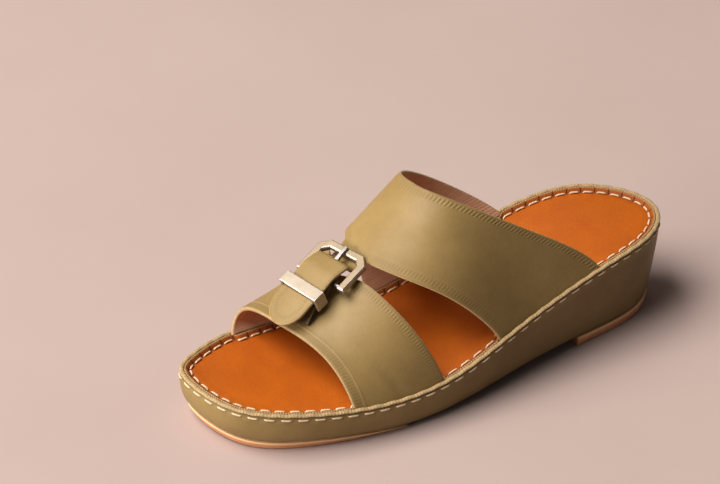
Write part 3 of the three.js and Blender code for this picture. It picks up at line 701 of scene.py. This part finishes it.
def shifted(edge, reach):
    """A strap edge moved toward the toe where the tab crosses it."""
    def moved(across):
        at = edge(across)
        side = (last_place(at, across)[..., 0] - buckle_x) / tab_width
        return at - reach / shoe_length * np.exp(-2.5 * side**2)
    return moved


def unit(vectors):
    return vectors / np.maximum(np.linalg.norm(vectors, axis=-1, keepdims=True), 1e-12)


def surface_normals(grid):
    """Square to the grid's own directions, by differences between neighbours."""
    return unit(np.cross(np.gradient(grid, axis=0), np.gradient(grid, axis=1)))


def inside_band(distance, first, last, soft):
    """1 between two distances in mm and 0 beyond them, with soft borders inside the band."""
    rise = ramp(distance, first * MM, (first + soft) * MM)
    return rise * (1 - ramp(distance, (last - soft) * MM, last * MM))


def turned_edge(upper, lower, outward, bulge, count):
    """The cut edge between two faces of the leather: half a turn from one to the other, flattened."""
    turns = np.linspace(0, np.pi, count + 2)[1:-1]
    centre, half = (upper + lower) / 2, (upper - lower) / 2
    return np.stack([centre + half * np.cos(t) + outward * bulge * np.sin(t) for t in turns], axis=1)


def with_ends(skin):
    """The skin with a row at each end drawn together to one point, which closes it."""
    ends = [np.repeat(row.mean(axis=1, keepdims=True), row.shape[1], axis=1) for row in (skin[:1], skin[-1:])]
    return np.concatenate([ends[0], skin, ends[1]], axis=0)


def strap_piece(name, front, rear, row_count, front_band, rear_band, folds):
    """A band of leather as one closed skin round its four sides: outer face, rear edge, lining
    and front edge. The ridges are a raised cosine along each edge, inside a band of its width."""
    dense_across = np.linspace(0, 1, 1500)
    middle = last_place((front(dense_across) + rear(dense_across)) / 2, dense_across)
    dense_run = run_along(middle)
    across = np.interp(np.linspace(0, dense_run[-1], row_count), dense_run, dense_across)[:, None]
    front_at, rear_at = front(across[:, 0])[:, None], rear(across[:, 0])[:, None]

    def sheet(shares):
        return last_place(front_at + (rear_at - front_at) * shares, across)

    edge_run = [run_along(sheet(np.array([[s]]))[:, 0]) for s in (0.0, 1.0)]
    steps = np.diff(sheet(np.linspace(0, 1, 60)[None, :]), axis=1)
    width = np.linalg.norm(steps, axis=-1).sum(axis=1)[:, None]
    close = np.array([0, 0.3, 0.8, 1.3, 1.7, 2.1, 2.5, 3.5, 4.5, 5.1, 5.5, 5.9, 6.2, 6.5, 6.9, 8.0]) * MM
    reach = np.minimum(close[-1], width * 0.42) / close[-1]
    near = close[None, :] * reach / width
    span = np.linspace(0, 1, 20)[None, 1:-1]
    shares = np.hstack([near, near[:, -1:] + (1 - 2 * near[:, -1:]) * span, 1 - near[:, ::-1]])
    outer = sheet(shares)
    normal = -surface_normals(outer)
    lift, groove, piping = (np.zeros(shares.shape) for _ in range(3))
    fade = ramp(width, 14 * MM, 22 * MM)
    for from_edge, run_edge, (pitch, height, first, last, bead) in (
            (shares * width, edge_run[0], front_band), ((1 - shares) * width, edge_run[1], rear_band)):
        turn = np.cos(2 * np.pi * run_edge / (pitch * MM))[:, None]
        past_band = (from_edge - (last + 0.6) * MM) / MM
        lift += height * MM * turn * inside_band(from_edge, first, last, 0.8) * fade
        lift += bead * MM * np.exp(-((past_band / 0.4) ** 2)) * fade
        lift -= 0.25 * MM * (1 - ramp(from_edge, 0, 0.8 * MM))
        # painted shade: darker in the hollows between the ridges, and over the band by the cord's height
        groove += inside_band(from_edge, first, last, 0.7) * ((0.5 - 0.5 * turn) * 0.15 + bead)
        piping = np.maximum(piping, 2.4 * bead * np.exp(-((past_band / 0.35) ** 2)))
    for place, share, length, spread, depth, slant in folds:
        along = (across - place) * dense_run[-1]
        sideways = (shares - share) * width
        s, c = math.sin(math.radians(slant)), math.cos(math.radians(slant))
        p, q = along * c + sideways * s, -along * s + sideways * c
        lift -= depth * MM * np.exp(-((p / (spread * MM)) ** 2) - (q / (length * MM)) ** 2)
    outer = outer + normal * lift[..., None]
    lining_shares = shares[:, ::3]
    lining_normal = normal[:, ::3]
    lining = sheet(lining_shares) - lining_normal * strap_thick
    tension = np.minimum(lining_shares, 1 - lining_shares) * width < 8 * MM
    wave = np.cos(2 * np.pi * edge_run[1] / (2.4 * MM))[:, None]
    lining = lining - lining_normal * (0.05 * MM * wave * tension)[..., None]

    rear_out = unit(outer[:, -1] - outer[:, -4])
    front_out = unit(outer[:, 0] - outer[:, 3])
    rear_edge = turned_edge(outer[:, -1], lining[:, -1], rear_out, 0.45 * MM, 5)
    front_edge = turned_edge(lining[:, 0], outer[:, 0], front_out, 0.45 * MM, 5)
    skin = np.concatenate([outer, rear_edge, lining[:, ::-1], front_edge], axis=1)
    drop = np.array([6.8, 4.5, 2.2, 0.8])[:, None, None] * MM * np.array([0, 0, 1])
    # each end goes straight on down, between rim and lip
    skin = np.concatenate([skin[:1] - drop, skin, skin[-1:] - drop[::-1]], axis=0)
    counts = (outer.shape[1], rear_edge.shape[1], lining.shape[1], front_edge.shape[1])
    edge_mark = np.repeat([0.0, 1.0, 0.0, 1.0], counts)
    inside_mark = np.repeat([0.0, 0.0, 1.0, 0.0], counts)
    edge_mark[[0, counts[0] - 1]] = 1
    rows = skin.shape[0]
    run_v = np.concatenate([[0] * len(drop), np.linspace(0, dense_run[-1], row_count),
                            [dense_run[-1]] * len(drop)])
    uv = joined(run_v[:, None], np.linspace(0, 1, skin.shape[1])[None, :])
    whole = with_ends(skin)
    uv = np.concatenate([uv[:1], uv, uv[-1:]], axis=0)
    piece = lay_mesh(name, whole, loop_columns=True, uv=uv, flip=True)
    mark(piece, "inside", np.tile(inside_mark, rows + 2))
    painted_shade = np.zeros(whole.shape[:2])
    face = np.s_[len(drop) + 1:-len(drop) - 1, :counts[0]]
    painted_shade[face] = groove
    cut = np.tile(edge_mark, (rows + 2, 1))
    cut[face] = np.maximum(cut[face], piping)
    mark(piece, "cut_edge", cut)
    mark(piece, "painted_shade", painted_shade)
    return piece


# place across (0 outer rim to 1 inner), share from front to rear, length, spread and depth in mm, slant
toe_folds = [(0.06, 0.5, 14, 3.2, 0.35, 80), (0.1, 0.3, 12, 2.6, 0.25, 60), (0.93, 0.5, 12, 3, 0.4, 95),
             (0.3, 0.55, 20, 5, 0.25, 70)]
instep_folds = [(0.05, 0.35, 16, 3.4, 0.4, 75), (0.085, 0.6, 20, 3.6, 0.3, 95), (0.95, 0.5, 16, 3.2, 0.4, 85),
                (0.3, 0.45, 28, 7, 0.3, 70), (0.42, 0.3, 18, 5, 0.2, 60)]
# the ridges of each edge: pitch, height, where the band begins and ends, height of the cord beside it
toe_band = strap_piece("toe_band", edge_at["toe_front"], shifted(edge_at["toe_rear"], 6.5 * MM), 700,
                       (1.7, 0.035, 0.5, 5.4, 0.17), (1.8, 0.08, 1.0, 4.4, 0), toe_folds)
instep_band = strap_piece("instep_band", shifted(edge_at["instep_front"], 2.5 * MM), edge_at["instep_rear"],
                          900, (2.0, 0.045, 1.4, 5.4, 0.03), (2.3, 0.12, 1.3, 5.8, 0), instep_folds)
for piece, node in ((toe_band, "toe_strap"), (instep_band, "instep_strap")):
    piece.data.materials.append(olive_leather)
    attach(piece, "root")
    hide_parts(node)

# The tab: a tongue of the instep strap that goes under the buckle's far bar, up over the hinge
# bar and down through the keeper. It is lined, has one pit for the prong that is painted dark as
# painted shade so that it reads as a hole, and ends in a round tip with a ring of fine pressed ticks
# a little inside its edge, darker between the ticks as painted shade.

buckle_yaw, buckle_tilt = math.radians(21), math.radians(17.5)
frame_thick = 3.4 * MM
far_bar_top = float(last_height(buckle_x, buckle_y)) + frame_thick + 1.2 * MM
tab_knots = [-0.18, 0, 0.08, 0.13, 0.18, 0.24, 0.32, 0.42, 0.5, 0.6, 0.72, 0.86, 1]
tab_raised = smooth_curve(tab_knots, [0, 0, 0.12, 0.55, 0.95, 1, 1, 1, 1, 1, 0.88, 0.68, 0.48])
tab_over = smooth_curve(tab_knots, [-0.25, -0.2, 0, 0.05, 0.35, 0.9, 1.15, 1.15, 0.5, -0.22, -0.2, 0, 0])


def tab_place(along, side):
    """Plan position: along the tab's axis from the far bar's outer edge, and to its side."""
    x = buckle_x + np.sin(tab_yaw) * along + np.cos(tab_yaw) * side
    y = buckle_y - np.cos(tab_yaw) * along + np.sin(tab_yaw) * side
    return x, y


def tab_point(along, side):
    """The tab's upper face: it leaves the last, clears the hinge bar, dips under the keeper and
    sinks toward the toe strap, following the last's curve sideways less and less."""
    middle = last_height(*tab_place(along * tab_length, 0 * side))
    beside = last_height(*tab_place(along * tab_length, side))
    follow = 1 - 0.75 * ramp(along, 0, 0.3)
    plane = far_bar_top - along * tab_length * math.tan(buckle_tilt)
    height = middle + (plane - middle) * tab_raised(along) + (beside - middle) * follow
    x, y = tab_place(along * tab_length, side)
    return joined(x, y, height + tab_over(along) * strap_thick)


def tab_piece():
    """One closed skin: the top face, the edge turned over, and the lining below."""
    root, tip_radius = -0.18, tab_width / 2
    round_from = 1 - tip_radius / tab_length
    straight = np.linspace(root, round_from, 190)
    tip = round_from + (1 - round_from) * np.sin(np.linspace(0, np.pi / 2, 60))[1:] * 0.9995
    along = np.concatenate([straight, tip])[:, None]
    beyond = np.clip((along - round_from) / (1 - round_from), 0, 1)
    half = tip_radius * np.sqrt(1 - beyond**2)
    columns, turns = 97, 4  # over the face, and round each cut edge
    even = np.linspace(-1, 1, columns)[None, :]
    side_share = np.sin(even * np.pi / 2) * 0.6 + even * 0.4
    side = half * side_share
    top = tab_point(along, side)
    normal = surface_normals(top)
    normal[-1] = normal[-2]
    past = np.maximum(along - round_from, 0) * tab_length
    from_edge = tip_radius - np.hypot(past, side)
    seam_run = np.where(past > 0, np.arctan2(past, np.abs(side)) * (tip_radius - 3 * MM),
                        (along - round_from) * tab_length)
    ring = inside_band(from_edge, 2.2, 4.8, 0.6) * ramp(along, 0.5, 0.58)
    ticks = np.cos(2 * np.pi * seam_run / (1.5 * MM))
    lift = -0.3 * MM * (1 - ramp(from_edge, 0, 0.9 * MM)) + (0.07 * ticks - 0.06) * MM * ring
    hole_along = 7.6 * MM
    hole = np.hypot(along * tab_length - hole_along, side * 1.6)
    pit = 1 - ramp(hole, 1.6 * MM, 2.3 * MM)
    top = top + normal * (lift - 1.7 * MM * pit)[..., None]
    wall = strap_thick * (0.5 + 0.5 * ramp(along, -0.04, 0.08))
    lining = tab_point(along, side) - normal * wall[..., None]

    def outward(column):
        """Square to the edge and to the face, away from the tab's middle."""
        out = unit(np.cross(np.gradient(top[:, column], axis=0), normal[:, column]))
        sign = np.sign(np.sum(out * (top[:, column] - top[:, columns // 2]), axis=-1, keepdims=True))
        return out * np.where(sign == 0, 1, sign)

    one_edge = turned_edge(top[:, -1], lining[:, -1], outward(-1), 0.4 * MM, turns)
    other_edge = turned_edge(lining[:, 0], top[:, 0], outward(0), 0.4 * MM, turns)
    skin = np.concatenate([top, one_edge, lining[:, ::-4], other_edge], axis=1)
    whole = with_ends(skin)
    piece = lay_mesh("tab", whole, loop_columns=True)
    edge = np.zeros(whole.shape[:2])
    edge[1:-1, columns:columns + turns] = 1
    edge[1:-1, -turns:] = 1
    edge[1:-1, [0, columns - 1]] = 1
    edge[-1] = 1
    inside = np.zeros(whole.shape[:2])
    inside[:, columns + turns:-turns] = 1
    painted_shade = np.zeros(whole.shape[:2])
    # painted shade: the prong's pit drawn dark, and the tick ring darker between its ticks
    painted_shade[1:-1, :columns] = 1.6 * pit + ring * (0.12 - 0.1 * ticks)
    for label, values in (("cut_edge", edge), ("inside", inside), ("painted_shade", painted_shade)):
        mark(piece, label, values)
    return piece


tab = tab_piece()
tab.data.materials.append(olive_leather)
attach(tab, "root")
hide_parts("instep_strap")

# The buckle: a flat cast frame with bevelled edges, open at the toe end, whose arms hold a hinge
# bar; a prong on the bar; and a loop that keeps the tab down. All are satin plate: the keeper in a
# lighter copy of pale gold plate as painted light, the frame in a darker copy as painted shade, the
# prong and hinge bar in a dark plate as painted shade, and the rounded edges of frame, keeper and
# prong in a bright plate as painted highlight. The keeper's face is bare. A short leather loop ties
# the hinge bar to the toe strap.


def softened_copy(name, node, width, materials):
    """A copy of a solid with its loose faces joined, its flats whole and its edges rounded. The
    first material is for the faces, and a second one for the rounded edges."""
    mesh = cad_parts[node].data.copy()
    piece = in_scene(name, mesh)
    mesh.materials.clear()
    for material in materials:
        mesh.materials.append(material)
    mesh.polygons.foreach_set("material_index", np.zeros(len(mesh.polygons), np.int32))
    body = bmesh.new()
    body.from_mesh(mesh)
    bmesh.ops.remove_doubles(body, verts=body.verts, dist=1e-6)
    bmesh.ops.dissolve_limit(body, angle_limit=math.radians(2), verts=body.verts, edges=body.edges)
    body.to_mesh(mesh)
    body.free()
    bevel = piece.modifiers.new("edges", "BEVEL")
    bevel.width = width
    bevel.segments = 3
    bevel.limit_method = "ANGLE"
    bevel.angle_limit = math.radians(28)
    bevel.material = 1 if len(mesh.materials) > 1 else 0
    mesh.polygons.foreach_set("use_smooth", np.ones(len(mesh.polygons), bool))
    weighted = piece.modifiers.new("flats", "WEIGHTED_NORMAL")
    weighted.keep_sharp = True
    return piece


def metal_material(name, colour, roughness):
    """Plated metal, brushed to a satin: fine scratches in the roughness and a soft swirl."""
    material, tree, shader = start_material(name)
    place = coordinate(tree, "Object")
    stretch = add_node(tree, "ShaderNodeMapping")
    feed(tree, stretch, {"Rotation": (0, 0, buckle_yaw), "Scale": (1.0, 0.08, 1.0), "Vector": place})
    brush, smear = noise_node(tree, stretch.outputs[0], 3200, 3), noise_node(tree, place, 160)
    tint = mix_colours(tree, range_node(tree, smear, 0.35, 0.65), shade(colour, 0.9), colour)
    rough = range_node(tree, brush, 0.3, 0.7, roughness - 0.03, roughness + 0.05)
    feed(tree, shader, {"Base Color": tint, "Metallic": 1.0, "Roughness": rough})
    return material


# a lighter and a darker copy of one pale gold plate as painted light and painted shade, a bright plate for
# the bevels as painted highlight, and a dark plate as painted shade
gold_painted_light = metal_material("gold_painted_light", (0.41, 0.345, 0.265), 0.56)
gold_painted_shade = metal_material("gold_painted_shade", (0.37, 0.285, 0.19), 0.5)
edge_painted_highlight = metal_material("plate_painted_highlight", (0.72, 0.67, 0.6), 0.3)
dark_plate_painted_shade = metal_material("plate_painted_shade", (0.26, 0.235, 0.22), 0.4)
for name, node, width, metals in (("frame_plate", "buckle_frame", 0.6 * MM, [gold_painted_shade, edge_painted_highlight]),
                                  ("keeper_loop", "buckle_keeper", 0.35 * MM, [gold_painted_light, edge_painted_highlight]),
                                  ("prong", "buckle_prong", 0.25 * MM, [dark_plate_painted_shade, edge_painted_highlight]),
                                  ("hinge_bar", "buckle_hinge_bar", 0.15 * MM, [dark_plate_painted_shade])):
    piece = softened_copy(name, node, width, metals)
    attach(piece, "root")
    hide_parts(node)

leather_loop = softened_copy("leather_loop", "buckle_chape", 0.25 * MM, [olive_leather])
# painted shade: the whole loop drawn dark where it sits under the tab and keeper
mark(leather_loop, "painted_shade", np.full(len(leather_loop.data.vertices), 1.5))
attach(leather_loop, "root")
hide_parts("buckle_chape")

# The thread: waxed cream thread in a long stitch, one row outside the rim and a closer one at the
# foot of the lip. Each stitch dives into its hole at both ends. The outer row's thread is painted
# darker, as painted shade.


def stitches(name, path, starts, length, radius, rise, sides=8, rings=9):
    """Short tubes along a path. path(run, out) gives points at a distance along it, lifted off
    the leather; a stitch's lift is a flat-topped arch and its tube narrows into the holes."""
    t = np.linspace(0, 1, rings)[None, :]
    run_at = starts[:, None] + length * (t - 0.5)
    arch = rise * (1 - np.abs(2 * t - 1) ** 3.5) - radius * 0.7 * np.abs(2 * t - 1) ** 8
    centre = path(run_at, np.broadcast_to(arch, run_at.shape))
    ahead = path(run_at + 1e-4, np.broadcast_to(arch, run_at.shape))
    out = unit(path(run_at, arch + 1e-3) - centre)
    forward = unit(ahead - centre)
    beside = unit(np.cross(forward, out))
    thick = radius * (1 - 0.4 * np.abs(2 * t - 1) ** 7)
    angle = np.linspace(0, 2 * np.pi, sides, endpoint=False)
    ring = out[:, :, None] * np.cos(angle)[:, None] + beside[:, :, None] * np.sin(angle)[:, None]
    points = centre[:, :, None] + ring * thick[..., None, None]
    count = len(starts)
    index = np.arange(count * rings * sides).reshape(count, rings, sides)
    a, b = index[:, :-1], np.roll(index, -1, axis=2)[:, :-1]
    c, d = np.roll(index, -1, axis=2)[:, 1:], index[:, 1:]
    faces = np.stack([a, b, c, d], axis=-1).reshape(-1, 4).tolist()
    faces += index[:, 0, ::-1].tolist() + index[:, -1].tolist()
    length_way = np.broadcast_to(run_at[:, :, None], index.shape)
    return mesh_piece(name, points, faces, joined(length_way, angle / (2 * np.pi)))


def thread_material(name, light, dark, twist):
    """Waxed thread: plies twisted round it, with painted shade between them, and a dull shine."""
    material, tree, shader = start_material(name)
    way = split_axes(tree, coordinate(tree, "UV"))
    turn = plus(tree, reckon(tree, "DIVIDE", way["X"], twist), times(tree, way["Y"], 2.0))
    wave = reckon(tree, "ABSOLUTE", reckon(tree, "SINE", times(tree, turn, math.pi)))
    plies = mix_colours(tree, wave, dark, light)
    feed(tree, shader, {"Base Color": plies, "Roughness": 0.5, "Sheen Weight": 0.15})
    relief(tree, shader, wave, 0.5, 0.2 * MM)
    return material


def outside_path(run_at, lift):
    """On the side wall, below the rim, square to the outline."""
    u = np.interp(run_at % rim_length, run, dense)
    at = station(rim_y(u))
    z = rim_height(at) - stitch_below_rim
    up = (z - wedge_base(at)) / (rim_height(at) - wedge_base(at))
    x, y = outline_place(u, wall_inset(at, up) - lift)
    return joined(x, y, z)


def inside_path(run_at, lift):
    """At the foot of the lip, leaning in toward the footbed."""
    u = np.interp(run_at % rim_length, run, dense)
    at = station(rim_y(u))
    edge = rim_inside + strap_room(u)
    x, y = outline_place(u, edge + 3.35 * MM + lift * 0.25)
    return joined(x, y, rim_height(at) - 1.2 * MM + lift)


outside_thread = stitches("outside_thread", outside_path, (np.arange(stitch_total) + 0.5) * stitch_pitch,
                          length=5.8 * MM, radius=0.5 * MM, rise=0.1 * MM)
inside_thread = stitches("inside_thread", inside_path, (np.arange(lip_stitch_total) + 0.5) * lip_stitch_pitch,
                         length=6.1 * MM, radius=0.56 * MM, rise=0.2 * MM)

cream = thread_material("cream_thread", (0.8, 0.6, 0.38), (0.55, 0.36, 0.2), 0.9 * MM)
# the same cream thread drawn darker for the outer row, as painted shade
thread_painted_shade = thread_material("cream_thread_painted_shade", (0.68, 0.52, 0.32), (0.42, 0.29, 0.16), 0.9 * MM)
for piece, thread in ((outside_thread, thread_painted_shade), (inside_thread, cream)):
    piece.data.materials.append(thread)
    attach(piece, "root")

# The floor, the light and the camera: a plain pale surface that curves up behind, one broad soft
# lamp from the toe side and above, and a long lens from the outer side of the shoe.


def floor_sheet():
    """A sheet that lies flat and rises smoothly far behind the shoe, away from the camera."""
    back_x, back_y, bend_from = -0.885, 0.465, 1.6
    across = np.linspace(-9, 9, 40)[None, :]
    out = np.concatenate([np.linspace(-5, bend_from, 30), np.linspace(1.8, 7, 40)])[:, None]
    height = 0.3 * np.maximum(out - bend_from, 0) ** 2
    return lay_mesh("floor", joined(back_x * out + back_y * across, back_y * out - back_x * across, height),
                    flip=True)


floor = floor_sheet()
floor_material, tree, shader = start_material("pale_paper")
fibre = noise_node(tree, coordinate(tree, "Object"), 7, 6)
paper = mix_colours(tree, range_node(tree, fibre, 0.3, 0.7), (0.375, 0.283, 0.25), (0.392, 0.298, 0.265))
feed(tree, shader, {"Base Color": paper, "Roughness": 0.85, "Specular IOR Level": 0.15})
floor.data.materials.append(floor_material)


def soft_lamp(name, place, target, size, power, colour):
    lamp = bpy.data.lights.new(name, "AREA")
    lamp.shape = "RECTANGLE"
    lamp.size, lamp.size_y = size
    lamp.energy = power
    lamp.color = colour
    holder = in_scene(name, lamp)
    holder.location = place
    holder.rotation_euler = (Vector(target) - Vector(place)).to_track_quat("-Z", "Y").to_euler()


soft_lamp("window", (-0.6, -2.05, 3.8), (0, 0, 0.03), (3.2, 2.6), 335, (1.0, 0.97, 0.95))
soft_lamp("low_window", (-0.25, -3.6, 0.95), (0, 0, 0.03), (2.0, 1.1), 150, (1.0, 0.965, 0.93))
soft_lamp("ceiling", (-2.3, -0.1, 3.5), (0, 0, 0.03), (2.4, 2.4), 5, (1.0, 0.96, 0.93))
world = bpy.data.worlds.new("room")
bpy.context.scene.world = world
world.use_nodes = True
feed(world.node_tree, world.node_tree.nodes["Background"], {"Color": (0.93, 0.9, 0.9), "Strength": 0.09})

lens = bpy.data.cameras.new("camera")
lens.lens = 136.74
lens.sensor_width = 36
lens.clip_end = 30
camera = in_scene("camera", lens)
right, up, back = (0.46525, 0.88518, 0), (-0.53097, 0.27908, 0.80010), (0.70823, -0.37225, 0.59986)
place = (1016.9 * MM, -579.1 * MM, 956.1 * MM)
camera.matrix_world = Matrix([(right[i], up[i], back[i], place[i]) for i in range(3)] + [(0, 0, 0, 1)])
bpy.context.scene.camera = camera
bpy.context.scene.view_settings.view_transform = "Standard"
